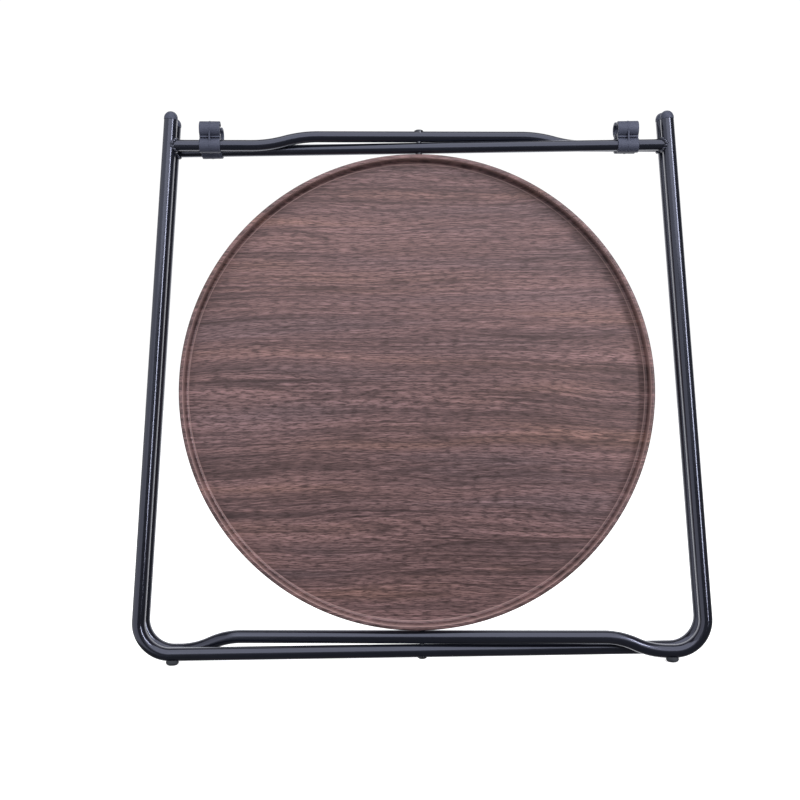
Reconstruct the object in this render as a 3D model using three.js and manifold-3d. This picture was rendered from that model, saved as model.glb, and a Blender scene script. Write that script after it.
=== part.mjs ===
// Folding tray table, folded flat and standing on its four feet.
// Two bent-tube frames cross at one vertical pivot axis. Each frame is a U of leg tube with a thinner
// crossbar near the top. The outer crossbar arches over the inner one, and the inner bottom bar arches
// over the outer one, so the frames turn about two rivets. A round tray hangs inside the folded frames.
// Millimetres. The origin is on the floor on the pivot axis, +X to the right, +Z up, the front at -Y.
import * as THREE from 'three';
import { mergeVertices } from 'three/addons/utils/BufferGeometryUtils.js';
import Module from 'manifold-3d';

const wasm = await Module();
wasm.setup();

// ---- driving dimensions -------------------------------------------------------------------------

const OVERALL_WIDTH = 545;
const OVERALL_HEIGHT = 520;
const FOLDED_HALF_ANGLE = THREE.MathUtils.degToRad(2.2); // each frame's turn out of the front plane
const GAP = 0.3; // clearance between pieces that touch on the real object

const LEG_RADIUS = 6.35;
const LEG_WALL = 1.2;
const LEG_TILT = THREE.MathUtils.degToRad(4.02); // the legs lean in towards the top
const CORNER_RADIUS = 29.5; // centreline of the two bottom bends
const BOTTOM_BAR_Z = 10.05; // centreline, so the bar clears the floor by the height of the feet
const INNER_FRAME_DROP = 2.35; // the inner frame's crossbar and leg tips are lower by this much

const CROSSBAR_RADIUS = 5.25;
const CROSSBAR_WALL = 1;
const CROSSBAR_BELOW_TIP = 31.9; // from the top of the caps to the crossbar's centreline

const OUTER_CROSSBAR_ARCH = { rise: 8.45, left: -95, right: 97, leftRun: 63, rightRun: 62 };
const INNER_BOTTOM_ARCH = { rise: 13, left: -172, right: 171, leftRun: 60, rightRun: 60 };

const CAP = { radius: 6.45, edge: 0.3, dome: 6.8, skirt: 1.4 };
const CAP_PLUG = { radius: 4.8, edge: 0.6, length: 12 };
const FOOT = { x: 235, radius: 6, flatRadius: 3.2, domeHeight: 2.9, saddle: 1.4 };
const FOOT_STEM = { radius: 2.5, top: 8.5 };
const CLIP = {
  x: 196.5,
  length: 19.5,
  ringRadius: 7,
  loopRadius: 7.3,
  loopBore: 4.6,
  loopRise: 15.3, // from the crossbar's centreline to the loop's
  loopOpening: THREE.MathUtils.degToRad(38), // half of the mouth
  neckHalfWidth: 2.4,
  ribLength: 1.4,
  ribRise: 0.2,
  ribClosedReach: 6.9, // the rib nearly fills the waist on the side away from the mouth
  ribMouthReach: 4,
  ridgeRise: 7.5,
  ridgeHalfWidth: 4.6,
  ridgeThickness: 1.3,
};
const WELD_TOE = { radius: 7, from: 2.6, to: 7 }; // distances along the crossbar from the leg's centreline
const WELD_SHOULDER = { radius: 6.65, at: 8.3 };
const WELD_TIP = { radius: 5.9, at: 9.6 };
const RIVET = {
  headRadius: 4.4,
  headHeight: 1.6,
  headSaddle: 1.1, // how far the head reaches down the sides of its bar
  tailRadius: 3.1,
  tailHeight: 0.9,
  tailEdge: 0.4,
  shankRadius: 2.4,
};
const PIN_HOLE_RADIUS = RIVET.shankRadius + GAP;

const TRAY = {
  centerX: -3.4,
  centerZ: 254.6,
  radius: 224.4,
  backY: 11.5,
  depth: 19,
  lipDepth: 3.6, // the lip stands proud of the side wall over this depth
  lipProud: 1.5,
  landWidth: 4.1,
  landChamfer: 0.8,
  floorThickness: 5,
  footFillet: 2.5,
  backRadius: 214, // the back is flat to here, and then rises to the side wall
  heelInset: 3,
  heelHeight: 4,
  edgeRound: 1.5,
};

const LEG_SIDES = 16;
const CROSSBAR_SIDES = 14;
const CORNER_STEPS = 7;
const ARCH_STEPS = 3;
const SMALL_SIDES = 16;
const CUTTER_SIDES = 28;
const CUTTER_LENGTH = 60; // longer than any piece that a bar shapes
const DRILL_REACH = 20; // past each side of any bar that a drill goes through
const TRAY_SIDES = 64;

// ---- materials ----------------------------------------------------------------------------------

const powderCoat = { color: 0x24272d, roughness: 0.45, metalness: 0.35 };
const blackPlastic = { color: 0x1c1e21, roughness: 0.7, metalness: 0 };
const rubber = { color: 0x15161a, roughness: 0.85, metalness: 0 };
const darkSteel = { color: 0x3b3e45, roughness: 0.35, metalness: 1 };
const walnutFilm = { color: 0x766563, roughness: 0.55, metalness: 0 };

// ---- solids -------------------------------------------------------------------------------------

/** Turns a closed three.js geometry into a solid that can be joined and cut. */
function solidOf(geometry) {
  const bare = geometry.clone();
  bare.deleteAttribute('normal');
  bare.deleteAttribute('uv');
  const merged = mergeVertices(bare);
  const corners = merged.index.array;
  const triangles = [];
  for (let i = 0; i < corners.length; i += 3) {
    const [a, b, c] = corners.slice(i, i + 3);
    if (a !== b && b !== c && c !== a) {
      triangles.push(a, b, c);
    }
  }
  return new wasm.Manifold(new wasm.Mesh({
    numProp: 3,
    vertProperties: merged.attributes.position.array,
    triVerts: new Uint32Array(triangles),
  }));
}

/** Turns a solid back into a three.js geometry. */
function geometryOf(solid) {
  const mesh = solid.getMesh();
  const geometry = new THREE.BufferGeometry();
  geometry.setAttribute('position', new THREE.BufferAttribute(mesh.vertProperties, 3));
  geometry.setIndex(new THREE.BufferAttribute(mesh.triVerts, 1));
  geometry.computeVertexNormals();
  return geometry;
}

function namedMesh(name, geometry, look) {
  const mesh = new THREE.Mesh(geometry, new THREE.MeshStandardMaterial(look));
  mesh.name = name;
  return mesh;
}

/** A solid of revolution about +Z. The profile holds [radius, height] points. */
function turned(profile, sides = SMALL_SIDES) {
  const points = profile.map(([radius, height]) => new THREE.Vector2(radius, height));
  return new THREE.LatheGeometry(points, sides).rotateX(Math.PI / 2);
}

/** [radius, height] points along an arc, from one angle to another, both in quarter turns. */
function arcPoints(centerR, centerH, radiusR, radiusH, fromQuarter, toQuarter, steps) {
  const points = [];
  for (let i = 0; i <= steps; i += 1) {
    const angle = (fromQuarter + ((toQuarter - fromQuarter) * i) / steps) * (Math.PI / 2);
    points.push([centerR + radiusR * Math.cos(angle), centerH + radiusH * Math.sin(angle)]);
  }
  return points;
}

/** An upright round pin, used as a drill, with its axis at x. */
function uprightPin(radius, x, bottomZ, topZ) {
  const pin = new THREE.CylinderGeometry(radius, radius, topZ - bottomZ, SMALL_SIDES);
  return pin.rotateX(Math.PI / 2).translate(x, 0, (bottomZ + topZ) / 2);
}

/** A solid bar lying along X at one height, wider by the gap, that shapes what sits on it. */
function barCutter(barRadius, centerZ) {
  const radius = barRadius + GAP;
  const bar = new THREE.CylinderGeometry(radius, radius, CUTTER_LENGTH, CUTTER_SIDES);
  return solidOf(bar.rotateZ(Math.PI / 2).translate(0, 0, centerZ));
}

// ---- bent tubes ---------------------------------------------------------------------------------

/** A centreline of straight runs and arcs in the XZ plane, with one ring of the tube at each station. */
class Route extends THREE.Curve {
  constructor(x, z, heading) {
    super();
    this.heading = heading; // angle of travel from +X towards +Z
    this.x = x;
    this.z = z;
    this.stations = [];
    this.mark();
  }

  mark() {
    this.stations.push({
      point: new THREE.Vector3(this.x, 0, this.z),
      tangent: new THREE.Vector3(Math.cos(this.heading), 0, Math.sin(this.heading)),
    });
  }

  straight(length) {
    this.x += length * Math.cos(this.heading);
    this.z += length * Math.sin(this.heading);
    this.mark();
    return this;
  }

  straightTo(x) {
    return this.straight((x - this.x) / Math.cos(this.heading));
  }

  /** Turns by an angle on an arc, to the left of travel when the angle is positive. */
  bend(radius, angle, steps) {
    const side = Math.sign(angle);
    const centerX = this.x - side * radius * Math.sin(this.heading);
    const centerZ = this.z + side * radius * Math.cos(this.heading);
    const start = this.heading;
    for (let i = 1; i <= steps; i += 1) {
      this.heading = start + (angle * i) / steps;
      this.x = centerX + side * radius * Math.sin(this.heading);
      this.z = centerZ - side * radius * Math.cos(this.heading);
      this.mark();
    }
    return this;
  }

  /** An S-bend that moves the line up by rise over run, and leaves it level. */
  step(rise, run) {
    const turn = 2 * Math.atan(rise / run);
    const radius = Math.abs(run / (2 * Math.sin(turn)));
    return this.bend(radius, turn, ARCH_STEPS).bend(radius, -turn, ARCH_STEPS);
  }

  at(u) {
    return this.stations[Math.round(u * (this.stations.length - 1))];
  }

  getPoint(t, target = new THREE.Vector3()) {
    return target.copy(this.at(t).point);
  }

  getPointAt(u, target) {
    return this.getPoint(u, target);
  }

  getTangentAt(u, target = new THREE.Vector3()) {
    return target.copy(this.at(u).tangent);
  }
}

function ringShape(radius, boreRadius) {
  const shape = new THREE.Shape().absarc(0, 0, radius, 0, 2 * Math.PI);
  shape.holes.push(new THREE.Path().absarc(0, 0, boreRadius, 0, 2 * Math.PI));
  return shape;
}

function bentTube(route, radius, wall, sides) {
  return new THREE.ExtrudeGeometry(ringShape(radius, radius - wall), {
    steps: route.stations.length - 1,
    curveSegments: sides / 2,
    extrudePath: route,
    bevelEnabled: false,
  });
}

// ---- leg tubes ----------------------------------------------------------------------------------

// The tube is widest where the bottom bend stands upright, and turning the frame narrows it a little.
const widestX = (OVERALL_WIDTH / 2 - LEG_RADIUS) / Math.cos(FOLDED_HALF_ANGLE);
const cornerX = widestX - CORNER_RADIUS;
const legFoot = {
  x: cornerX + CORNER_RADIUS * Math.cos(LEG_TILT),
  z: BOTTOM_BAR_Z + CORNER_RADIUS + CORNER_RADIUS * Math.sin(LEG_TILT),
};

function legCenterX(z) {
  return legFoot.x - (z - legFoot.z) * Math.tan(LEG_TILT);
}

/** Height of the tube's cut end, for a cap whose top is at tipZ. */
function tubeEndZ(tipZ) {
  return tipZ - (CAP.dome + CAP.skirt + GAP) * Math.cos(LEG_TILT);
}

/** The U of one frame: down the left leg, along the bottom bar, up the right leg. */
function legTube(tipZ, bottomArch) {
  const endZ = tubeEndZ(tipZ);
  const legLength = (endZ - legFoot.z) / Math.cos(LEG_TILT);
  const cornerTurn = Math.PI / 2 + LEG_TILT;
  const route = new Route(-legCenterX(endZ), endZ, -cornerTurn);
  route.straight(legLength).bend(CORNER_RADIUS, cornerTurn, CORNER_STEPS);
  if (bottomArch) {
    route.straightTo(bottomArch.left - bottomArch.leftRun).step(bottomArch.rise, bottomArch.leftRun);
    route.straightTo(bottomArch.right).step(-bottomArch.rise, bottomArch.rightRun);
  }
  route.straightTo(cornerX).bend(CORNER_RADIUS, cornerTurn, CORNER_STEPS).straight(legLength);

  let tube = solidOf(bentTube(route, LEG_RADIUS, LEG_WALL, LEG_SIDES));
  const arch = bottomArch ? bottomArch.rise : 0;
  tube = tube.subtract(solidOf(uprightPin(PIN_HOLE_RADIUS, 0, 0, BOTTOM_BAR_Z + arch + DRILL_REACH)));
  for (const side of [-1, 1]) {
    tube = tube.subtract(solidOf(uprightPin(FOOT_STEM.radius + GAP, side * FOOT.x, 0, BOTTOM_BAR_Z)));
  }
  return geometryOf(tube);
}

/** A solid leg, wider by the gap, that shapes what is welded to it. */
function legCutter(side, centerZ) {
  const radius = LEG_RADIUS + GAP;
  const leg = new THREE.CylinderGeometry(radius, radius, CUTTER_LENGTH, CUTTER_SIDES);
  leg.rotateX(Math.PI / 2).rotateY(-side * LEG_TILT);
  return solidOf(leg.translate(side * legCenterX(centerZ), 0, centerZ));
}

// ---- crossbars and welds ------------------------------------------------------------------------

function crossbar(centerZ, arch) {
  const endX = legCenterX(centerZ);
  const route = new Route(-endX, centerZ, 0);
  if (arch) {
    route.straightTo(arch.left - arch.leftRun).step(arch.rise, arch.leftRun);
    route.straightTo(arch.right).step(-arch.rise, arch.rightRun);
  }
  route.straightTo(endX);

  let bar = solidOf(bentTube(route, CROSSBAR_RADIUS, CROSSBAR_WALL, CROSSBAR_SIDES));
  const pivotZ = centerZ + (arch ? arch.rise : 0);
  bar = bar.subtract(solidOf(uprightPin(PIN_HOLE_RADIUS, 0, pivotZ - DRILL_REACH, pivotZ + DRILL_REACH)));
  for (const side of [-1, 1]) {
    bar = bar.subtract(legCutter(side, centerZ));
  }
  return geometryOf(bar);
}

/** The bead round the crossbar's end, coped to the leg. */
function weldBead(side, centerZ) {
  const bore = CROSSBAR_RADIUS + GAP;
  const bead = turned([
    [bore, WELD_TOE.from],
    [WELD_TOE.radius, WELD_TOE.from],
    [WELD_TOE.radius, WELD_TOE.to],
    [WELD_SHOULDER.radius, WELD_SHOULDER.at],
    [WELD_TIP.radius, WELD_TIP.at],
    [bore, WELD_TIP.at],
    [bore, WELD_TOE.from],
  ]);
  bead.rotateY((-side * Math.PI) / 2).translate(side * legCenterX(centerZ), 0, centerZ);
  return geometryOf(solidOf(bead).subtract(legCutter(side, centerZ)));
}

// ---- caps, feet and clips -----------------------------------------------------------------------

/** A domed plug for the end of a leg, standing on the tube's cut end at the origin. */
function legCap() {
  const domeStart = GAP + CAP.skirt;
  return turned([
    [0, -CAP_PLUG.length],
    [CAP_PLUG.radius - CAP_PLUG.edge, -CAP_PLUG.length],
    [CAP_PLUG.radius, CAP_PLUG.edge - CAP_PLUG.length],
    [CAP_PLUG.radius, GAP],
    [CAP.radius - CAP.edge, GAP],
    [CAP.radius, GAP + CAP.edge],
    ...arcPoints(0, domeStart, CAP.radius, CAP.dome, 0, 1, 4).slice(0, -1),
    [0, domeStart + CAP.dome],
  ]);
}

/** A round button under a bottom corner, domed below and saddled to the tube, with a stem up into it. */
function foot() {
  const tubeBottom = BOTTOM_BAR_Z - LEG_RADIUS;
  const saddleTop = tubeBottom + FOOT.saddle;
  const button = turned([
    [0, 0],
    ...arcPoints(FOOT.flatRadius, FOOT.domeHeight, FOOT.radius - FOOT.flatRadius, FOOT.domeHeight, -1, 0, 3),
    [FOOT.radius, saddleTop],
    [0, saddleTop],
  ]);
  const stem = uprightPin(FOOT_STEM.radius, 0, FOOT.domeHeight, FOOT_STEM.top);
  return geometryOf(solidOf(button).subtract(barCutter(LEG_RADIUS, BOTTOM_BAR_Z)).add(solidOf(stem)));
}

/**
 * The clip's end view: a ring round the bar, a neck, and a loop whose mouth faces +X of the shape. The
 * neck reaches out by closedReach on the side away from the mouth, and by mouthReach on the mouth side.
 */
function clipOutline(extra, closedReach, mouthReach) {
  const ring = CLIP.ringRadius + extra;
  const loop = CLIP.loopRadius + extra;
  const mouth = CLIP.loopOpening;
  const outline = new THREE.Shape();
  outline.absarc(0, 0, ring, Math.acos(mouthReach / ring), Math.PI - Math.acos(closedReach / ring), true);
  outline.absarc(0, CLIP.loopRise, loop, Math.PI + Math.acos(closedReach / loop), mouth, true);
  outline.absarc(0, CLIP.loopRise, CLIP.loopBore, mouth, 2 * Math.PI - mouth, false);
  outline.absarc(0, CLIP.loopRise, loop, -mouth, -Math.acos(mouthReach / loop), true);
  outline.holes.push(new THREE.Path().absarc(0, 0, CROSSBAR_RADIUS + GAP, 0, 2 * Math.PI));
  return outline;
}

/** Draws an outline out to a length, centred on the origin, its length along X and its mouth facing +Y. */
function clipSlice(outline, length) {
  const slice = new THREE.ExtrudeGeometry(outline, { depth: length, curveSegments: 6, bevelEnabled: false });
  slice.translate(0, 0, -length / 2);
  return slice.rotateX(Math.PI / 2).rotateZ(Math.PI / 2);
}

function clip() {
  const ridge = new THREE.BoxGeometry(CLIP.length, 2 * CLIP.ridgeHalfWidth, CLIP.ridgeThickness);
  ridge.translate(0, 0, CLIP.ridgeRise);
  const bodyOutline = clipOutline(0, CLIP.neckHalfWidth, CLIP.neckHalfWidth);
  const ribOutline = clipOutline(CLIP.ribRise, CLIP.ribClosedReach, CLIP.ribMouthReach);
  const body = solidOf(clipSlice(bodyOutline, CLIP.length));
  const rib = solidOf(clipSlice(ribOutline, CLIP.ribLength));
  return geometryOf(body.add(rib).add(solidOf(ridge)));
}

// ---- one frame ----------------------------------------------------------------------------------

/**
 * Makes one frame in its own plane. mouthTurn is the way the left clip's loop opens, +1 for the back,
 * and the right clip opens the other way, because the frames cross.
 */
function makeFrame(name, tipZ, crossbarArch, bottomArch, mouthTurn) {
  const frame = new THREE.Group();
  const barZ = tipZ - CROSSBAR_BELOW_TIP;
  frame.add(namedMesh(`${name}_leg_tube`, legTube(tipZ, bottomArch), powderCoat));
  frame.add(namedMesh(`${name}_crossbar`, crossbar(barZ, crossbarArch), powderCoat));

  for (const [sideName, side] of [['left', -1], ['right', 1]]) {
    frame.add(namedMesh(`${name}_weld_${sideName}`, weldBead(side, barZ), powderCoat));

    const cap = namedMesh(`${name}_cap_${sideName}`, legCap(), blackPlastic);
    cap.position.set(side * legCenterX(tubeEndZ(tipZ)), 0, tubeEndZ(tipZ));
    cap.rotation.y = -side * LEG_TILT;
    frame.add(cap);

    const button = namedMesh(`${name}_foot_${sideName}`, foot(), rubber);
    button.position.x = side * FOOT.x;
    frame.add(button);

    const clipMesh = namedMesh(`${name}_clip_${sideName}`, clip(), blackPlastic);
    clipMesh.position.set(side * CLIP.x, 0, barZ);
    clipMesh.rotation.z = side * mouthTurn < 0 ? 0 : Math.PI;
    frame.add(clipMesh);
  }
  return frame;
}

// ---- pivots -------------------------------------------------------------------------------------

/** A headed pin along Z. Its head is coped to the bar that carries it, and its tail is flat. */
function rivet(head, tail) {
  const up = Math.sign(head.surfaceZ - tail.surfaceZ);
  const headBase = head.surfaceZ - up * RIVET.headSaddle;
  const tailBase = tail.surfaceZ - up * GAP;
  const tailEnd = tailBase - up * RIVET.tailHeight;
  const outline = [
    [0, tailEnd],
    [RIVET.tailRadius - RIVET.tailEdge, tailEnd],
    [RIVET.tailRadius, tailEnd + up * RIVET.tailEdge],
    [RIVET.tailRadius, tailBase],
    [RIVET.shankRadius, tailBase],
    [RIVET.shankRadius, headBase],
    [RIVET.headRadius, headBase],
    ...arcPoints(0, head.surfaceZ, RIVET.headRadius, up * RIVET.headHeight, 0, 1, 4).slice(0, -1),
    [0, head.surfaceZ + up * RIVET.headHeight],
  ];
  const body = solidOf(turned(up > 0 ? outline : outline.reverse()));
  const shankEnds = [head.surfaceZ + (up * RIVET.headHeight) / 2, tailBase].sort((a, b) => a - b);
  const shank = solidOf(uprightPin(RIVET.shankRadius, 0, ...shankEnds));
  return geometryOf(body.subtract(barCutter(head.barRadius, head.barZ)).add(shank));
}

/** One bar at a pivot: its centre height, its radius, and the height of the side a rivet bears on. */
function pivotBar(barZ, barRadius, bearingSide) {
  return { barZ, barRadius, surfaceZ: barZ + bearingSide * barRadius };
}

function makePivots(outerBarZ, innerBarZ) {
  const pivots = new THREE.Group();
  const topHead = pivotBar(outerBarZ, CROSSBAR_RADIUS, 1);
  const topTail = pivotBar(innerBarZ, CROSSBAR_RADIUS, -1);
  const bottomHead = pivotBar(BOTTOM_BAR_Z, LEG_RADIUS, -1);
  const bottomTail = pivotBar(BOTTOM_BAR_Z + INNER_BOTTOM_ARCH.rise, LEG_RADIUS, 1);
  pivots.add(namedMesh('top_rivet', rivet(topHead, topTail), darkSteel));
  pivots.add(namedMesh('bottom_rivet', rivet(bottomHead, bottomTail), darkSteel));
  return pivots;
}

// ---- tray ---------------------------------------------------------------------------------------

/** A round tray with a raised rim, open towards the front. Heights run from its back to its lip. */
function makeTray() {
  const { radius, depth, edgeRound, footFillet, floorThickness } = TRAY;
  const wallOuter = radius - TRAY.lipProud;
  const wallInner = radius - TRAY.landWidth;
  const lipBack = depth - TRAY.lipDepth;
  const geometry = turned([
    [0, 0],
    [TRAY.backRadius, 0],
    [wallOuter - TRAY.heelInset, TRAY.heelHeight],
    [wallOuter, lipBack - TRAY.lipProud],
    [radius, lipBack],
    ...arcPoints(radius - edgeRound, depth - edgeRound, edgeRound, edgeRound, 0, 1, 3),
    [wallInner + TRAY.landChamfer, depth],
    [wallInner, depth - TRAY.landChamfer],
    ...arcPoints(wallInner - footFillet, floorThickness + footFillet, footFillet, footFillet, 0, -1, 3),
    [0, floorThickness],
  ], TRAY_SIDES);
  const mesh = namedMesh('tray', geometry.rotateX(Math.PI / 2), walnutFilm);
  mesh.position.set(TRAY.centerX, TRAY.backY, TRAY.centerZ);
  return mesh;
}

// ---- the table ----------------------------------------------------------------------------------

const outerTipZ = OVERALL_HEIGHT;
const innerTipZ = OVERALL_HEIGHT - INNER_FRAME_DROP;

const outerFrame = makeFrame('outer', outerTipZ, OUTER_CROSSBAR_ARCH, null, 1);
outerFrame.rotation.z = FOLDED_HALF_ANGLE;

const innerFrame = makeFrame('inner', innerTipZ, null, INNER_BOTTOM_ARCH, -1);
innerFrame.rotation.z = -FOLDED_HALF_ANGLE;

const outerPivotZ = outerTipZ - CROSSBAR_BELOW_TIP + OUTER_CROSSBAR_ARCH.rise;
const innerPivotZ = innerTipZ - CROSSBAR_BELOW_TIP;

const table = new THREE.Group();
table.add(outerFrame, innerFrame, makePivots(outerPivotZ, innerPivotZ), makeTray());

export default table;
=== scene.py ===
"""Folding tray table: fine meshes, materials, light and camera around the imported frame.

Lengths are in metres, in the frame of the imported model: origin on the floor on the pivot axis,
+X to the right, +Z up, the front at -Y. Each frame is drawn in its own upright plane, and then
turned about the pivot axis by its share of the folded angle.
"""
import math

import bmesh
import bpy
from mathutils import Matrix, Vector
from mathutils.geometry import tessellate_polygon


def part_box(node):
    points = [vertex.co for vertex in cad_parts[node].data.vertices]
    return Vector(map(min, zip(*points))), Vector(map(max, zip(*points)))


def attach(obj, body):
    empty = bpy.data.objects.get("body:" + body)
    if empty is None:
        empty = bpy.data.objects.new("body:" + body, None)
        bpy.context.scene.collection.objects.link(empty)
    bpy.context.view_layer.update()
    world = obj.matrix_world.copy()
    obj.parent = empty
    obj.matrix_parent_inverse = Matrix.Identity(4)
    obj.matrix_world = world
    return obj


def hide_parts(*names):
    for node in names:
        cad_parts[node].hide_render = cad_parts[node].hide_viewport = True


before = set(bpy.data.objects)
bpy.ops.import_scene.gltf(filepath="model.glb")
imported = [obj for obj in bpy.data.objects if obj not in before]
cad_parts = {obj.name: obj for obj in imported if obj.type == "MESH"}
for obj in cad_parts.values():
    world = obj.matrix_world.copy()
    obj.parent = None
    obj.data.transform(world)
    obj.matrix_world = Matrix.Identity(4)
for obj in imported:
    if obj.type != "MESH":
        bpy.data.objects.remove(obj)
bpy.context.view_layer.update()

MM = 0.001
TAU = 2 * math.pi

# ---- dimensions shared with the frame -----------------------------------------------------------

FOLDED_HALF_ANGLE = math.radians(2.2)
LEG_RADIUS = 6.35 * MM
LEG_WALL = 1.2 * MM
LEG_TILT = math.radians(4.02)
CORNER_RADIUS = 29.5 * MM
BOTTOM_BAR_Z = 10.05 * MM
CROSSBAR_RADIUS = 5.25 * MM
CROSSBAR_WALL = 1 * MM
CROSSBAR_BELOW_TIP = 31.9 * MM
FOOT_X = 235 * MM
CLIP_X = 196.5 * MM
OUTER_CROSSBAR_ARCH = {"rise": 8.45 * MM, "left": -95 * MM, "right": 97 * MM,
                       "left_run": 63 * MM, "right_run": 62 * MM}
INNER_BOTTOM_ARCH = {"rise": 13 * MM, "left": -172 * MM, "right": 171 * MM,
                     "left_run": 60 * MM, "right_run": 60 * MM}

WIDEST_X = (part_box("outer_leg_tube")[1][0] - LEG_RADIUS) / math.cos(FOLDED_HALF_ANGLE)
CORNER_X = WIDEST_X - CORNER_RADIUS
LEG_FOOT_X = CORNER_X + CORNER_RADIUS * math.cos(LEG_TILT)
LEG_FOOT_Z = BOTTOM_BAR_Z + CORNER_RADIUS * (1 + math.sin(LEG_TILT))

OUTER_TIP_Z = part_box("outer_cap_left")[1][2]
INNER_TIP_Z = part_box("inner_cap_left")[1][2]
OUTER_BAR_Z = OUTER_TIP_Z - CROSSBAR_BELOW_TIP
INNER_BAR_Z = INNER_TIP_Z - CROSSBAR_BELOW_TIP

CAP_DOME = 6.8 * MM
CAP_SKIRT = 1.4 * MM
CAP_GAP = 0.12 * MM
CAP_RADIUS = 6.45 * MM

TUBE_SIDES = 64
TURNED_SIDES = 96
TRAY_SIDES = 360


def leg_center_x(z):
    """Half the distance between the leg centrelines at one height."""
    return LEG_FOOT_X - (z - LEG_FOOT_Z) * math.tan(LEG_TILT)


def turned_by(sign):
    """The matrix that turns a frame's own plane into its folded place."""
    return Matrix.Rotation(sign * FOLDED_HALF_ANGLE, 4, "Z")


# ---- mesh helpers -------------------------------------------------------------------------------

def add_object(name, vertices, faces, material, body, node=None, place=None, sharp_angle=40):
    """Makes a smooth-shaded piece, puts it on its body, and hides the imported part that it stands for."""
    mesh = bpy.data.meshes.new(name)
    mesh.from_pydata([tuple(v) for v in vertices], [], faces)
    return add_mesh(name, mesh, material, body, node, place, sharp_angle)


def add_mesh(name, mesh, material, body, node=None, place=None, sharp_angle=40):
    work = bmesh.new()
    work.from_mesh(mesh)
    bmesh.ops.remove_doubles(work, verts=work.verts, dist=1e-7)
    if place is not None:
        bmesh.ops.transform(work, matrix=place, verts=work.verts)
    bmesh.ops.recalc_face_normals(work, faces=work.faces)
    limit = math.radians(sharp_angle)
    for edge in work.edges:
        edge.smooth = len(edge.link_faces) == 2 and edge.calc_face_angle(0) < limit
    for face in work.faces:
        face.smooth = True
    work.to_mesh(mesh)
    work.free()
    mesh.materials.clear()
    mesh.materials.append(material)
    piece = bpy.data.objects.new(name, mesh)
    bpy.context.collection.objects.link(piece)
    if body:
        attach(piece, body)
    if node:
        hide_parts(node)
    return piece


def ring_faces(rings, sides, closed=False):
    """Quads between successive rings of equal length, the rings numbered from vertex 0."""
    faces = []
    for i in range(rings if closed else rings - 1):
        below = i * sides
        above = ((i + 1) % rings) * sides
        for j in range(sides):
            k = (j + 1) % sides
            faces.append((below + j, below + k, above + k, above + j))
    return faces


def turned(profile, sides=TURNED_SIDES):
    """A closed solid of revolution about Z: vertices and faces.

    The profile holds (radius, height) points from axis to axis, or a loop. A height may be a function
    of the point's y, for a face that sits on a bar lying along X.
    """
    vertices = []
    loop = profile[0][0] > 0
    for radius, height in profile:
        for j in range(sides):
            angle = TAU * j / sides
            x = radius * math.sin(angle)
            y = radius * math.cos(angle)
            vertices.append(Vector((x, y, height(y) if callable(height) else height)))
    faces = ring_faces(len(profile), sides, closed=loop)
    return vertices, faces


def arc(center_r, center_z, radius_r, radius_z, start_quarter, end_quarter, steps):
    """(radius, height) points along an elliptical arc, its ends given in quarter turns."""
    points = []
    for i in range(steps + 1):
        angle = (start_quarter + (end_quarter - start_quarter) * i / steps) * math.pi / 2
        points.append((center_r + radius_r * math.cos(angle), center_z + radius_z * math.sin(angle)))
    return points


def applied(piece):
    """Bakes a scratch object's modifiers into a new mesh, and removes the object."""
    graph = bpy.context.evaluated_depsgraph_get()
    mesh = bpy.data.meshes.new_from_object(piece.evaluated_get(graph))
    bpy.data.objects.remove(piece)
    return mesh


def scratch(name, mesh):
    """A helper object, linked to the scene until a boolean is done with it."""
    piece = bpy.data.objects.new(name, mesh)
    bpy.context.collection.objects.link(piece)
    return piece


def joined(first, others):
    """The boolean union of a mesh and other meshes."""
    piece = scratch("union_base", first)
    tools = []
    for mesh in others:
        tool = scratch("union_tool", mesh)
        tools.append(tool)
        modifier = piece.modifiers.new("union", "BOOLEAN")
        modifier.operation = "UNION"
        modifier.solver = "EXACT"
        modifier.object = tool
    bpy.context.view_layer.update()
    mesh = applied(piece)
    for tool in tools:
        bpy.data.objects.remove(tool)
    return mesh


# ---- materials ----------------------------------------------------------------------------------

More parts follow.
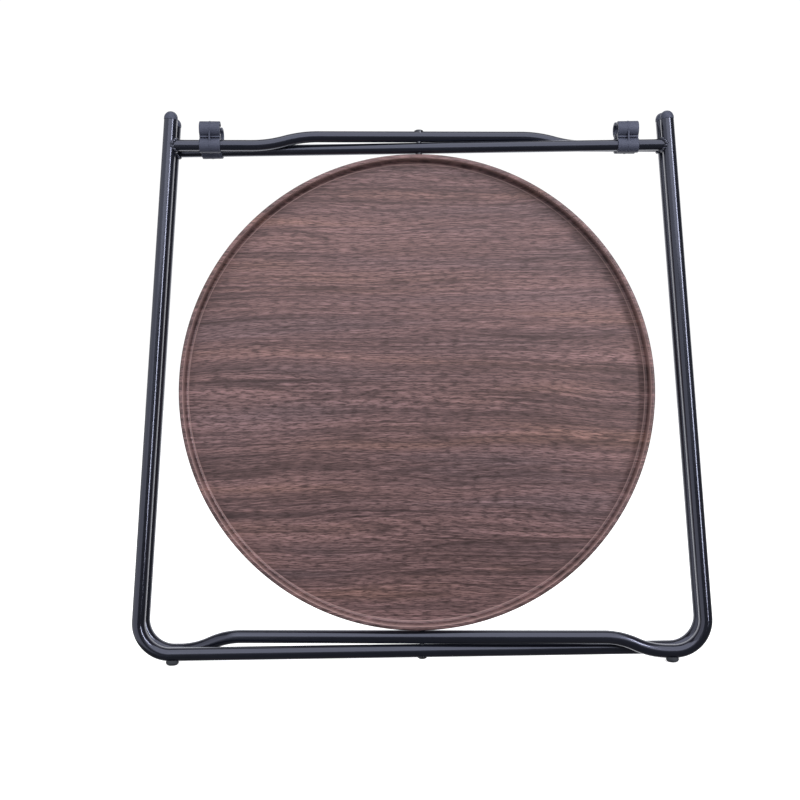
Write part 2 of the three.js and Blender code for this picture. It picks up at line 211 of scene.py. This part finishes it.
class Nodes:
    """A small helper that adds and links shader nodes."""

    def __init__(self, name):
        self.material = bpy.data.materials.new(name)
        self.material.use_nodes = True
        self.tree = self.material.node_tree
        self.shader = self.tree.nodes["Principled BSDF"]
        self.place = self.add("ShaderNodeTexCoord").outputs["Object"]

    def add(self, kind, **settings):
        node = self.tree.nodes.new(kind)
        for key, value in settings.items():
            setattr(node, key, value)
        return node

    def link(self, source, target):
        self.tree.links.new(source, target)

    def scaled(self, scale, vector=None):
        """A vector, or else the object coordinates, scaled along each axis."""
        mapping = self.add("ShaderNodeMapping")
        mapping.inputs["Scale"].default_value = scale
        self.link(self.place if vector is None else vector, mapping.inputs["Vector"])
        return mapping.outputs["Vector"]

    def noise(self, vector, scale, detail=2.0, roughness=0.5, distortion=0.0):
        node = self.add("ShaderNodeTexNoise")
        node.inputs["Scale"].default_value = scale
        node.inputs["Detail"].default_value = detail
        node.inputs["Roughness"].default_value = roughness
        node.inputs["Distortion"].default_value = distortion
        self.link(vector, node.inputs["Vector"])
        return node.outputs["Fac"]

    def ramp(self, value, stops):
        """A colour ramp through (position, colour) stops; a grey may be one number."""
        node = self.add("ShaderNodeValToRGB")
        elements = node.color_ramp.elements
        while len(elements) < len(stops):
            elements.new(0.5)
        for element, (position, color) in zip(elements, stops):
            element.position = position
            if isinstance(color, (int, float)):
                color = (color, color, color)
            element.color = (*color, 1)
        self.link(value, node.inputs["Fac"])
        return node.outputs["Color"]

    def math(self, operation, a, b):
        node = self.add("ShaderNodeMath", operation=operation)
        for socket, value in zip(node.inputs, (a, b)):
            if isinstance(value, (int, float)):
                socket.default_value = value
            else:
                self.link(value, socket)
        return node.outputs["Value"]

    def mix(self, blend, factor, a, b):
        node = self.add("ShaderNodeMix", data_type="RGBA", blend_type=blend)
        factor_socket = node.inputs[0]
        if isinstance(factor, (int, float)):
            factor_socket.default_value = factor
        else:
            self.link(factor, factor_socket)
        for socket, value in ((node.inputs[6], a), (node.inputs[7], b)):
            if isinstance(value, tuple):
                socket.default_value = (*value, 1)
            else:
                self.link(value, socket)
        return node.outputs[2]

    def bump(self, height, distance, strength):
        node = self.add("ShaderNodeBump")
        node.inputs["Strength"].default_value = strength
        node.inputs["Distance"].default_value = distance
        self.link(height, node.inputs["Height"])
        self.link(node.outputs["Normal"], self.shader.inputs["Normal"])


def powder_coat():
    """Satin blue-black powder coat: a faint orange peel and slight changes of gloss."""
    n = Nodes("powder_coat")
    broad = n.noise(n.place, 18, 3)
    fine = n.noise(n.place, 600, 2)
    color = n.ramp(broad, [(0.3, (0.0050, 0.0056, 0.0095)), (0.7, (0.0070, 0.0078, 0.0125))])
    n.link(color, n.shader.inputs["Base Color"])
    n.link(n.ramp(broad, [(0.3, 0.15), (0.7, 0.21)]), n.shader.inputs["Roughness"])
    n.shader.inputs["Specular IOR Level"].default_value = 1.0
    n.shader.inputs["Specular Tint"].default_value = (0.72, 0.76, 1.0, 1)
    n.bump(fine, 0.00001, 0.08)
    return n.material


def moulded_plastic():
    """Matt blue-black moulded plastic with a fine spark-eroded grain."""
    n = Nodes("moulded_plastic")
    grain = n.noise(n.place, 2600, 2)
    broad = n.noise(n.place, 60, 3)
    color = n.ramp(broad, [(0.3, (0.046, 0.051, 0.078)), (0.7, (0.060, 0.066, 0.098))])
    n.link(color, n.shader.inputs["Base Color"])
    n.link(n.ramp(grain, [(0.3, 0.46), (0.7, 0.62)]), n.shader.inputs["Roughness"])
    n.shader.inputs["Specular Tint"].default_value = (0.75, 0.78, 1.0, 1)
    n.bump(grain, 0.00006, 0.8)
    return n.material


def foot_rubber():
    """Dull black rubber with slight mottling."""
    n = Nodes("foot_rubber")
    broad = n.noise(n.place, 220, 3)
    color = n.ramp(broad, [(0.3, (0.022, 0.025, 0.034)), (0.7, (0.034, 0.038, 0.048))])
    n.link(color, n.shader.inputs["Base Color"])
    n.link(n.ramp(broad, [(0.3, 0.62), (0.7, 0.80)]), n.shader.inputs["Roughness"])
    n.bump(broad, 0.00005, 0.5)
    return n.material


def dark_steel():
    """Black-plated steel with fine turning marks round the pivot axis."""
    n = Nodes("dark_steel")
    marks = n.noise(n.place, 900, 3)
    cloud = n.noise(n.place, 300, 3)
    color = n.ramp(cloud, [(0.3, (0.045, 0.047, 0.056)), (0.7, (0.085, 0.088, 0.100))])
    n.link(color, n.shader.inputs["Base Color"])
    n.shader.inputs["Metallic"].default_value = 1.0
    n.link(n.ramp(marks, [(0.3, 0.22), (0.7, 0.38)]), n.shader.inputs["Roughness"])
    n.bump(marks, 0.00002, 0.5)
    return n.material


# Painted highlights: two pale lines round the rim, where its inner edge and the foot of its wall catch the
# light.
RIM_HIGHLIGHT_LINES = [(3.3, 0.0), (3.85, 1.0), (4.15, 1.0), (4.4, 0.0),  # millimetres in from the edge, paleness
             (6.4, 0.0), (6.7, 1.0), (7.1, 1.0), (7.6, 0.0)]
RIM_HIGHLIGHT_SPAN = 10  # millimetres that the ramp of the rim lines covers
RIM_HIGHLIGHT_STRENGTH = 0.70
RIM_HIGHLIGHT_BACK = 4.5 * MM  # no pale lines on the tray's back


def walnut():
    """Grey-brown walnut film: the grain runs along X and is carried straight over the rim."""
    n = Nodes("walnut_film")
    split = n.add("ShaderNodeSeparateXYZ")
    n.link(n.place, split.inputs["Vector"])
    # A slow wander bends every layer of grain alike, and a short ripple makes the pores wavy.
    wander = n.math("MULTIPLY", n.noise(n.scaled((1.6, 0, 5.0)), 1.0, 2), 0.085)
    ripple = n.math("MULTIPLY", n.noise(n.scaled((130, 0, 90)), 1.0, 1), 0.0014)
    slow_z = n.math("ADD", split.outputs["Z"], wander)

    def field(height):
        joined_axes = n.add("ShaderNodeCombineXYZ")
        n.link(split.outputs["X"], joined_axes.inputs["X"])
        n.link(height, joined_axes.inputs["Z"])
        return joined_axes.outputs["Vector"]

    smooth_field = field(slow_z)
    wavy_field = field(n.math("ADD", slow_z, ripple))

    def layer(source, scale, detail, roughness=0.5, distortion=0.0):
        return n.noise(n.scaled(scale, source), 1.0, detail, roughness, distortion)

    hue = layer(smooth_field, (2.2, 0, 34), 3, 0.55, 0.3)
    bands = layer(smooth_field, (1.7, 7, 52), 3, 0.6, 0.3)
    streaks = layer(wavy_field, (3.0, 3, 460), 3, 0.6, 0.2)
    pores = layer(wavy_field, (105, 5, 940), 2, 0.6)
    fibres = layer(wavy_field, (75, 9, 1150), 2, 0.6)
    veins = layer(smooth_field, (1.9, 2, 44), 2, 0.5, 0.3)

    color = n.ramp(hue, [(0.34, (0.120, 0.076, 0.082)), (0.46, (0.142, 0.083, 0.085)),
                         (0.56, (0.150, 0.086, 0.085)), (0.68, (0.182, 0.100, 0.086))])
    band = n.ramp(bands, [(0.34, 0.52), (0.44, 0.87), (0.54, 1.02), (0.68, 1.13)])
    streak = n.ramp(streaks, [(0.36, 0.40), (0.45, 0.88), (0.54, 1.05), (0.66, 1.34)])
    pore = n.ramp(pores, [(0.38, 0.30), (0.45, 0.80), (0.52, 1.05), (0.66, 1.30)])
    fibre = n.ramp(fibres, [(0.36, 0.42), (0.48, 1.0), (0.66, 1.34)])
    vein = n.ramp(veins, [(0.415, 1.0), (0.435, 0.55), (0.450, 1.0), (0.475, 1.0), (0.495, 0.42),
                         (0.510, 1.0), (0.548, 1.0), (0.567, 0.58), (0.582, 1.0)])
    for tone in (band, streak, pore, fibre, vein):
        color = n.mix("MULTIPLY", 1.0, color, tone)
    # Painted highlights: the film is made paler in two thin lines, at the rim's inner edge and at the foot
    # of its wall, where these bends catch the light.
    low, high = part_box("tray")
    across = n.math("SUBTRACT", split.outputs["X"], (low[0] + high[0]) / 2)
    above = n.math("SUBTRACT", split.outputs["Z"], (low[2] + high[2]) / 2)
    radius = n.math("SQRT", n.math("ADD", n.math("MULTIPLY", across, across),
                                   n.math("MULTIPLY", above, above)), 0)
    inset = n.math("MULTIPLY", n.math("SUBTRACT", (high[0] - low[0]) / 2, radius),
                   1 / (RIM_HIGHLIGHT_SPAN * MM))
    painted_rim_highlight = n.ramp(inset, [(place / RIM_HIGHLIGHT_SPAN, pale) for place, pale in RIM_HIGHLIGHT_LINES])
    front_only = n.math("LESS_THAN", split.outputs["Y"], high[1] - RIM_HIGHLIGHT_BACK)
    paleness = n.math("MULTIPLY", n.math("MULTIPLY", painted_rim_highlight, front_only), RIM_HIGHLIGHT_STRENGTH)
    color = n.mix("MIX", paleness, color, (0.36, 0.235, 0.225))
    n.link(color, n.shader.inputs["Base Color"])
    n.link(n.ramp(fibres, [(0.3, 0.36), (0.7, 0.44)]), n.shader.inputs["Roughness"])
    n.shader.inputs["Specular IOR Level"].default_value = 0.9
    n.shader.inputs["Specular Tint"].default_value = (1.0, 0.76, 0.79, 1)
    n.bump(n.math("MULTIPLY", fibre, pore), 0.00004, 0.3)
    return n.material


POWDER = powder_coat()
PLASTIC = moulded_plastic()
RUBBER = foot_rubber()
STEEL = dark_steel()
WALNUT = walnut()


# ---- bent tubes ---------------------------------------------------------------------------------

class Route:
    """A centreline of straight runs and arcs in the XZ plane: a list of (x, z, heading) stations."""

    corner_steps = 40
    arch_steps = 20

    def __init__(self, x, z, heading):
        self.x, self.z, self.heading = x, z, heading
        self.stations = [(x, z, heading)]

    def mark(self):
        self.stations.append((self.x, self.z, self.heading))

    def straight(self, length):
        self.x += length * math.cos(self.heading)
        self.z += length * math.sin(self.heading)
        self.mark()
        return self

    def straight_to(self, x):
        return self.straight((x - self.x) / math.cos(self.heading))

    def bend(self, radius, angle, steps):
        side = math.copysign(1, angle)
        center_x = self.x - side * radius * math.sin(self.heading)
        center_z = self.z + side * radius * math.cos(self.heading)
        start = self.heading
        for i in range(1, steps + 1):
            self.heading = start + angle * i / steps
            self.x = center_x + side * radius * math.sin(self.heading)
            self.z = center_z - side * radius * math.cos(self.heading)
            self.mark()
        return self

    def step(self, rise, run):
        """An S-bend that moves the line up by rise over run, and leaves it level."""
        turn = 2 * math.atan(rise / run)
        radius = abs(run / (2 * math.sin(turn)))
        return self.bend(radius, turn, self.arch_steps).bend(radius, -turn, self.arch_steps)

    def arch(self, shape):
        if shape:
            self.straight_to(shape["left"] - shape["left_run"]).step(shape["rise"], shape["left_run"])
            self.straight_to(shape["right"]).step(-shape["rise"], shape["right_run"])
        return self


def hollow_tube(stations, radius, wall, end_point=None):
    """A bent tube with an open bore. end_point may move the points of its two end rings."""
    vertices = []
    skins = ((radius, 1), (radius - wall, -1))
    for skin_radius, direction in skins:
        run = stations if direction > 0 else list(reversed(stations))
        for i, (x, z, heading) in enumerate(run):
            for j in range(TUBE_SIDES):
                angle = TAU * j / TUBE_SIDES
                across = skin_radius * math.cos(angle)
                up = skin_radius * math.sin(angle)
                point = Vector((x - up * math.sin(heading), across, z + up * math.cos(heading)))
                if end_point and i in (0, len(run) - 1):
                    point = end_point(point)
                vertices.append(point)
    return vertices, ring_faces(2 * len(stations), TUBE_SIDES, closed=True)


def leg_tube(name, tip_z, arch, body, turn):
    end_z = tip_z - (CAP_DOME + CAP_SKIRT + CAP_GAP) * math.cos(LEG_TILT)
    length = (end_z - LEG_FOOT_Z) / math.cos(LEG_TILT)
    corner = math.pi / 2 + LEG_TILT
    route = Route(-leg_center_x(end_z), end_z, -corner)
    route.straight(length).bend(CORNER_RADIUS, corner, Route.corner_steps)
    route.arch(arch).straight_to(CORNER_X)
    route.bend(CORNER_RADIUS, corner, Route.corner_steps).straight(length)
    vertices, faces = hollow_tube(route.stations, LEG_RADIUS, LEG_WALL)
    return add_object(name, vertices, faces, POWDER, body, name, turn)


def saddle_x(side, y, z):
    """Where a line along X at (y, z) meets the leg's surface, on the leg's inner side."""
    return side * (leg_center_x(z) - math.sqrt(LEG_RADIUS ** 2 - y ** 2) / math.cos(LEG_TILT))


def crossbar(name, bar_z, arch, body, turn):
    end_x = leg_center_x(bar_z)

    def coped(point):
        side = math.copysign(1, point.x)
        return Vector((saddle_x(side, point.y, point.z), point.y, point.z))

    route = Route(-end_x, bar_z, 0).arch(arch).straight_to(end_x)
    vertices, faces = hollow_tube(route.stations, CROSSBAR_RADIUS, CROSSBAR_WALL, coped)
    return add_object(name, vertices, faces, POWDER, body, name, turn)


def weld_bead(name, side, bar_z, body, turn):
    """A rippled bead along the saddle line where the crossbar meets the leg."""
    around, section = 240, 16
    bead_radius = 1.5 * MM
    ripples = 13
    vertices = []
    for i in range(around):
        angle = TAU * i / around
        pulse = math.sin(ripples * angle + 0.9 * math.sin(2 * angle))
        size = bead_radius * (1 + 0.13 * pulse + 0.08 * math.sin(3 * angle + 1))
        reach = CROSSBAR_RADIUS + 0.25 * MM
        y = reach * math.cos(angle)
        z = bar_z + reach * math.sin(angle)
        center = Vector((saddle_x(side, y, z) - side * 0.1 * MM, y, z))
        outward = Vector((0, math.cos(angle), math.sin(angle)))
        along = Vector((-side, 0, 0))
        for j in range(section):
            turn_angle = TAU * j / section
            lean = 0.35 * math.sin(turn_angle) * pulse * MM
            vertices.append(center + outward * size * math.cos(turn_angle)
                            + along * (size * 1.15 * math.sin(turn_angle) + lean))
    return add_object(name, vertices, ring_faces(around, section, closed=True), POWDER, body, name, turn)


# ---- caps, feet and clips -----------------------------------------------------------------------

def leg_cap(name, side, tip_z, body, turn):
    """A domed plug: its stem inside the tube, a short skirt, and a dome with a slightly flat top."""
    start = CAP_GAP + CAP_SKIRT
    edge = 0.35 * MM
    dome_height = CAP_DOME - 0.05 * MM
    dome = []
    for i in range(1, 25):
        angle = (math.pi / 2) * i / 24
        dome.append((CAP_RADIUS * math.cos(angle) ** 0.92 if i < 24 else 0,
                     start + dome_height * math.sin(angle)))
    profile = [(0, -12 * MM), (4.2 * MM, -12 * MM), (4.9 * MM, -11.3 * MM), (4.9 * MM, CAP_GAP)]
    profile += arc(CAP_RADIUS - edge, CAP_GAP + edge, edge, edge, -1, 0, 5)
    profile += [(CAP_RADIUS, start)] + dome
    vertices, faces = turned(profile)
    end_z = tip_z - (CAP_DOME + CAP_SKIRT + CAP_GAP) * math.cos(LEG_TILT)
    place = (turn @ Matrix.Translation((side * leg_center_x(end_z), 0, end_z))
             @ Matrix.Rotation(-side * LEG_TILT, 4, "Y"))
    return add_object(name, vertices, faces, PLASTIC, body, name, place)


def foot(name, side, body, turn):
    """A round rubber button that hugs the tube's underside, with its stem up inside the tube."""
    radius, flat_radius, dome = 6 * MM, 3.2 * MM, 2.9 * MM
    saddle_top = BOTTOM_BAR_Z - LEG_RADIUS + 1.4 * MM

    def seat(y):
        hidden = BOTTOM_BAR_Z - math.sqrt(LEG_RADIUS ** 2 - min(abs(y), LEG_RADIUS) ** 2)
        return min(hidden, saddle_top)

    profile = [(0, 0), (flat_radius / 2, 0)] + arc(flat_radius, dome, radius - flat_radius, dome, -1, 0, 12)
    profile += [(radius, dome + 0.3 * MM), (radius - 0.15 * MM, seat)]
    profile += [(radius * share, seat) for share in (0.92, 0.8, 0.65, 0.5)]
    profile += [(2.5 * MM, seat), (2.5 * MM, 8.5 * MM), (0, 8.5 * MM)]
    vertices, faces = turned(profile)
    place = turn @ Matrix.Translation((side * FOOT_X, 0, 0))
    return add_object(name, vertices, faces, RUBBER, body, name, place)


CLIP_LENGTH = 19.5 * MM
CLIP_RING = 7.0 * MM
CLIP_LOOP = 7.3 * MM
CLIP_BORE = 4.6 * MM
CLIP_LOOP_RISE = 15.3 * MM
CLIP_MOUTH = math.radians(38)
CLIP_NECK = 2.4 * MM
RIB_RISE = 0.25 * MM
RIB_CLOSED_REACH = 6.9 * MM
RIB_MOUTH_REACH = 4 * MM
RIB_LENGTH = 1.4 * MM
BORE_STEPS = 48


def circle_arc(center_v, radius, start, end, steps):
    """Points (u, v) along a circle centred at (0, center_v)."""
    points = []
    for i in range(steps + 1):
        angle = start + (end - start) * i / steps
        points.append((radius * math.cos(angle), center_v + radius * math.sin(angle)))
    return points


def clip_outline(ring, loop, bore, mouth, closed_reach, mouth_reach):
    """The clip's end view: a ring round the bar, a neck, and a loop whose mouth faces +u.

    The neck reaches out by closed_reach on the side away from the mouth, and by mouth_reach on its side.
    """
    ring_end = -math.pi - math.acos(closed_reach / ring)
    points = circle_arc(0, ring, math.acos(mouth_reach / ring), ring_end, 60)
    points += circle_arc(CLIP_LOOP_RISE, loop, math.pi + math.acos(closed_reach / loop), mouth, 44)
    points += circle_arc(CLIP_LOOP_RISE, bore, mouth, TAU - mouth, 40)
    points += circle_arc(CLIP_LOOP_RISE, loop, -mouth, -math.acos(mouth_reach / loop), 6)
    return points


def moved_inwards(points, distance):
    """An outline with every point moved to the right of its path, which is into the material."""
    moved = []
    for i, point in enumerate(points):
        here = Vector(point)
        arriving = (here - Vector(points[i - 1])).normalized()
        leaving = (Vector(points[(i + 1) % len(points)]) - here).normalized()
        right = Vector((arriving.y, -arriving.x))
        way = (right + Vector((leaving.y, -leaving.x))).normalized()
        moved.append(here + way * (distance / way.dot(right)))
    return moved


def prism(outline, hole, length, rounding, hole_rounding=0.3 * MM):
    """A clockwise outline (u, v) drawn out along its normal, with rounded ends.

    It may have a hole, given counter-clockwise. The result lies with u across the bar, v up, and its
    length along the bar.
    """
    steps = 5
    loops = [(outline, rounding)] + ([(hole, hole_rounding)] if hole else [])
    vertices, faces, ends = [], [], [[], []]
    for points, edge in loops:
        first = len(vertices)
        for end in (-1, 1):
            for i in range(steps + 1):
                angle = (math.pi / 2) * (i if end > 0 else steps - i) / steps
                along = end * (length / 2 - edge * (1 - math.sin(angle)))
                for u, v in moved_inwards(points, edge * (1 - math.cos(angle))):
                    vertices.append(Vector((along, u, v)))
        rings = 2 * (steps + 1)
        faces += [tuple(first + k for k in face) for face in ring_faces(rings, len(points))]
        ends[0].append(range(first, first + len(points)))
        ends[1].append(range(first + (rings - 1) * len(points), first + rings * len(points)))
    for end in ends:
        corners = [k for loop in end for k in loop]
        flat = [[Vector((vertices[k].y, vertices[k].z, 0)) for k in loop] for loop in end]
        for triangle in tessellate_polygon(flat):
            faces.append(tuple(corners[k] for k in triangle))
    mesh = bpy.data.meshes.new("prism")
    mesh.from_pydata([tuple(v) for v in vertices], [], faces)
    work = bmesh.new()
    work.from_mesh(mesh)
    bmesh.ops.recalc_face_normals(work, faces=work.faces)
    work.to_mesh(mesh)
    work.free()
    return mesh


def clip(name, side, bar_z, mouth_turn, body, turn):
    last = BORE_STEPS - 1
    bar_hole = circle_arc(0, CROSSBAR_RADIUS + 0.05 * MM, 0, TAU * last / BORE_STEPS, last)
    outline = clip_outline(CLIP_RING, CLIP_LOOP, CLIP_BORE, CLIP_MOUTH, CLIP_NECK, CLIP_NECK)
    shell = prism(outline, bar_hole, CLIP_LENGTH, 0.8 * MM)
    # The rib's hidden inner edges stay inside the shell's walls.
    rib_hole = circle_arc(0, CROSSBAR_RADIUS + 0.8 * MM, 0, TAU * last / BORE_STEPS, last)
    rib_outline = clip_outline(CLIP_RING + RIB_RISE, CLIP_LOOP + RIB_RISE, CLIP_BORE + 1 * MM,
                               CLIP_MOUTH + 0.1, RIB_CLOSED_REACH, RIB_MOUTH_REACH)
    rib = prism(rib_outline, rib_hole, RIB_LENGTH, 0.15 * MM)
    half_ridge, ridge_low, ridge_high = 4.6 * MM, 6.85 * MM, 8.1 * MM
    ridge = prism([(-half_ridge, ridge_low), (-half_ridge, ridge_high), (half_ridge, ridge_high),
                   (half_ridge, ridge_low)], None, CLIP_LENGTH - 0.5 * MM, 0.3 * MM)
    mesh = joined(shell, [rib, ridge])
    half_turn = Matrix.Rotation(0 if side * mouth_turn < 0 else math.pi, 4, "Z")
    place = turn @ Matrix.Translation((side * CLIP_X, 0, bar_z)) @ half_turn
    return add_mesh(name, mesh, PLASTIC, body, name, place, 50)


# ---- one frame ----------------------------------------------------------------------------------

def make_frame(name, tip_z, crossbar_arch, bottom_arch, turn_sign, mouth_turn):
    """One frame with its ten pieces. mouth_turn is the way its left clip opens, +1 for the back."""
    body = f"{name}_frame"
    turn = turned_by(turn_sign)
    bar_z = tip_z - CROSSBAR_BELOW_TIP
    leg_tube(f"{name}_leg_tube", tip_z, bottom_arch, body, turn)
    crossbar(f"{name}_crossbar", bar_z, crossbar_arch, body, turn)
    for side_name, side in (("left", -1), ("right", 1)):
        weld_bead(f"{name}_weld_{side_name}", side, bar_z, body, turn)
        leg_cap(f"{name}_cap_{side_name}", side, tip_z, body, turn)
        foot(f"{name}_foot_{side_name}", side, body, turn)
        clip(f"{name}_clip_{side_name}", side, bar_z, mouth_turn, body, turn)


# ---- pivots -------------------------------------------------------------------------------------

def on_bar(bar_z, bar_radius, side):
    """The height of a round bar's top (side 1) or underside (side -1) at a distance y from its axis."""
    return lambda y: bar_z + side * math.sqrt(max(bar_radius ** 2 - y ** 2, 0))


def rivet(name, head_bar, tail_bar, head_side):
    """A headed pin through both bars: a domed head, a shank, and a rolled tail with a dimple."""
    head_radius, head_height = 4.4 * MM, 1.6 * MM
    tail_radius, tail_height = 3.1 * MM, 0.9 * MM
    shank_radius = 2.4 * MM
    head_seat = on_bar(*head_bar, head_side)
    tail_seat = on_bar(*tail_bar, -head_side)(0) - head_side * 0.25 * MM
    tail_end = tail_seat - head_side * tail_height

    def above_tail(height):
        return tail_end + head_side * height * MM

    profile = [(0, above_tail(0.5)), (0.8 * MM, above_tail(0.42)), (1.3 * MM, above_tail(0.1)),
               (1.8 * MM, tail_end), (2.5 * MM, above_tail(0.1)), (tail_radius, above_tail(0.5)),
               (tail_radius, tail_seat), (shank_radius, tail_seat), (shank_radius, head_seat),
               (head_radius, head_seat)]
    profile += arc(0, head_seat(0), head_radius, head_side * head_height, 0, 1, 20)
    profile[-1] = (0, head_seat(0) + head_side * head_height)
    vertices, faces = turned(profile)
    return add_object(name, vertices, faces, STEEL, "outer_frame", name)


def make_pivots():
    top_head = (OUTER_BAR_Z + OUTER_CROSSBAR_ARCH["rise"], CROSSBAR_RADIUS)
    top_tail = (INNER_BAR_Z, CROSSBAR_RADIUS)
    bottom_head = (BOTTOM_BAR_Z, LEG_RADIUS)
    bottom_tail = (BOTTOM_BAR_Z + INNER_BOTTOM_ARCH["rise"], LEG_RADIUS)
    rivet("top_rivet", top_head, top_tail, 1)
    rivet("bottom_rivet", bottom_head, bottom_tail, -1)


# ---- tray ---------------------------------------------------------------------------------------

def make_tray():
    """A pressed round tray, open towards the front, with a rounded lip and a filleted foot."""
    low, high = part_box("tray")
    center_x = (low[0] + high[0]) / 2
    center_z = (low[2] + high[2]) / 2
    radius = (high[0] - low[0]) / 2
    depth = high[1] - low[1]
    floor = 5 * MM
    lip_depth, lip_proud, land = 3.6 * MM, 1.5 * MM, 4.1 * MM
    outer_round, inner_round, fillet = 1.6 * MM, 1.0 * MM, 2.6 * MM
    wall_outer = radius - lip_proud
    wall_inner = radius - land
    back_radius, back_round = 214 * MM, 3 * MM
    lip_back = depth - lip_depth
    # The floor and the back are drawn as several rings, so that no face is a long sliver.
    rings = [radius * share for share in (0, 0.25, 0.5, 0.75)]
    profile = [(ring, 0) for ring in rings]
    profile += arc(back_radius, back_round, back_round, back_round, -1, -0.5, 5)
    profile += [(wall_outer - 2.6 * MM, 5 * MM), (wall_outer - 0.3 * MM, lip_back - 3 * MM),
                (wall_outer, lip_back - lip_proud)]
    profile += [(radius - 0.35 * MM, lip_back - 0.2 * MM), (radius, lip_back + 0.35 * MM)]
    profile += arc(radius - outer_round, depth - outer_round, outer_round, outer_round, 0, 1, 10)
    profile += arc(wall_inner + inner_round, depth - inner_round, -inner_round, inner_round, 1, 0, 8)
    profile += arc(wall_inner - fillet - 0.4 * MM, floor + fillet, fillet, fillet, 0, -1, 10)
    profile += [(ring, floor) for ring in reversed(rings)]
    vertices, faces = turned(profile, TRAY_SIDES)
    place = Matrix.Translation((center_x, high[1], center_z)) @ Matrix.Rotation(math.pi / 2, 4, "X")
    return add_object("tray", vertices, faces, WALNUT, "tray", "tray", place, 35)


# ---- studio -------------------------------------------------------------------------------------

def make_floor():
    """A white floor that glows, so that it meets the white background without a horizon."""
    n = Nodes("studio_floor")
    tone = n.noise(n.place, 0.8, 1)
    n.link(n.ramp(tone, [(0.2, 0.86), (0.8, 0.90)]), n.shader.inputs["Base Color"])
    n.shader.inputs["Roughness"].default_value = 0.9
    n.shader.inputs["Specular IOR Level"].default_value = 0.0
    n.shader.inputs["Emission Color"].default_value = (1, 1, 1, 1)
    n.shader.inputs["Emission Strength"].default_value = 0.85
    size = 30
    mesh = bpy.data.meshes.new("floor")
    corners = [(-size, -size, 0), (size, -size, 0), (size, size, 0), (-size, size, 0)]
    mesh.from_pydata(corners, [], [(0, 1, 2, 3)])
    mesh.materials.append(n.material)
    floor = bpy.data.objects.new("floor", mesh)
    bpy.context.collection.objects.link(floor)
    floor.location.z = -0.2 * MM
    floor.visible_glossy = False
    floor.visible_diffuse = False


def make_world():
    """White to the eye, and a dim room with a bright back wall to the object."""
    world = bpy.data.worlds.new("studio")
    world.use_nodes = True
    tree = world.node_tree
    tree.nodes.clear()
    output = tree.nodes.new("ShaderNodeOutputWorld")
    room = tree.nodes.new("ShaderNodeBackground")
    white = tree.nodes.new("ShaderNodeBackground")
    white.inputs["Strength"].default_value = 1.05
    for background in (room, white):
        background.inputs["Color"].default_value = (1, 1, 1, 1)
    paths = tree.nodes.new("ShaderNodeLightPath")
    mix = tree.nodes.new("ShaderNodeMixShader")
    place = tree.nodes.new("ShaderNodeTexCoord")
    split = tree.nodes.new("ShaderNodeSeparateXYZ")
    wall = tree.nodes.new("ShaderNodeMapRange")
    wall.interpolation_type = "SMOOTHSTEP"
    for socket, value in (("From Min", 0.35), ("From Max", 0.65), ("To Min", 0.12), ("To Max", 1.5)):
        wall.inputs[socket].default_value = value
    tree.links.new(place.outputs["Generated"], split.inputs["Vector"])
    tree.links.new(split.outputs["Y"], wall.inputs["Value"])
    tree.links.new(wall.outputs["Result"], room.inputs["Strength"])
    tree.links.new(paths.outputs["Is Camera Ray"], mix.inputs["Fac"])
    tree.links.new(room.outputs["Background"], mix.inputs[1])
    tree.links.new(white.outputs["Background"], mix.inputs[2])
    tree.links.new(mix.outputs["Shader"], output.inputs["Surface"])
    bpy.context.scene.world = world


def soft_box(name, position, target, width, height, brightness):
    """A rectangular soft light. brightness is the radiance of its face."""
    light = bpy.data.lights.new(name, "AREA")
    light.shape = "RECTANGLE"
    light.size = width
    light.size_y = height
    light.energy = brightness * math.pi * width * height
    lamp = bpy.data.objects.new(name, light)
    lamp.location = position
    lamp.rotation_euler = (Vector(target) - Vector(position)).to_track_quat("-Z", "Y").to_euler()
    bpy.context.collection.objects.link(lamp)
    lamp.visible_camera = False


def make_lights():
    """Wide soft boxes at the left and overhead, a dim one in front, and a narrow one at the right."""
    middle = (0, 0, 0.26)
    soft_box("left_light", (-0.90, -0.48, 0.30), middle, 1.75, 1.7, 0.85)
    soft_box("top_light", (0.1, -0.92, 1.40), middle, 1.8, 2.7, 1.75)
    soft_box("front_light", (-0.5, -2.0, 0.55), (-0.5, 0, 0.55), 2.0, 1.0, 0.25)
    soft_box("strip_light", (1.0, -1.18, 0.50), middle, 0.22, 1.4, 17.0)


def make_camera():
    """Nearly square to the front, a little left of the pivot axis and just under half height."""
    data = bpy.data.cameras.new("camera")
    data.sensor_width = 36
    data.lens = 50.64
    data.dof.use_dof = False
    camera = bpy.data.objects.new("camera", data)
    camera.location = (-19.4 * MM, -1.066, 247.5 * MM)
    camera.rotation_euler = (math.pi / 2, math.radians(0.38), 0)
    bpy.context.collection.objects.link(camera)
    bpy.context.scene.camera = camera


make_frame("outer", OUTER_TIP_Z, OUTER_CROSSBAR_ARCH, None, 1, 1)
make_frame("inner", INNER_TIP_Z, None, INNER_BOTTOM_ARCH, -1, -1)
make_pivots()
make_tray()
make_floor()
make_world()
make_lights()
make_camera()
bpy.context.scene.view_settings.view_transform = "Standard"
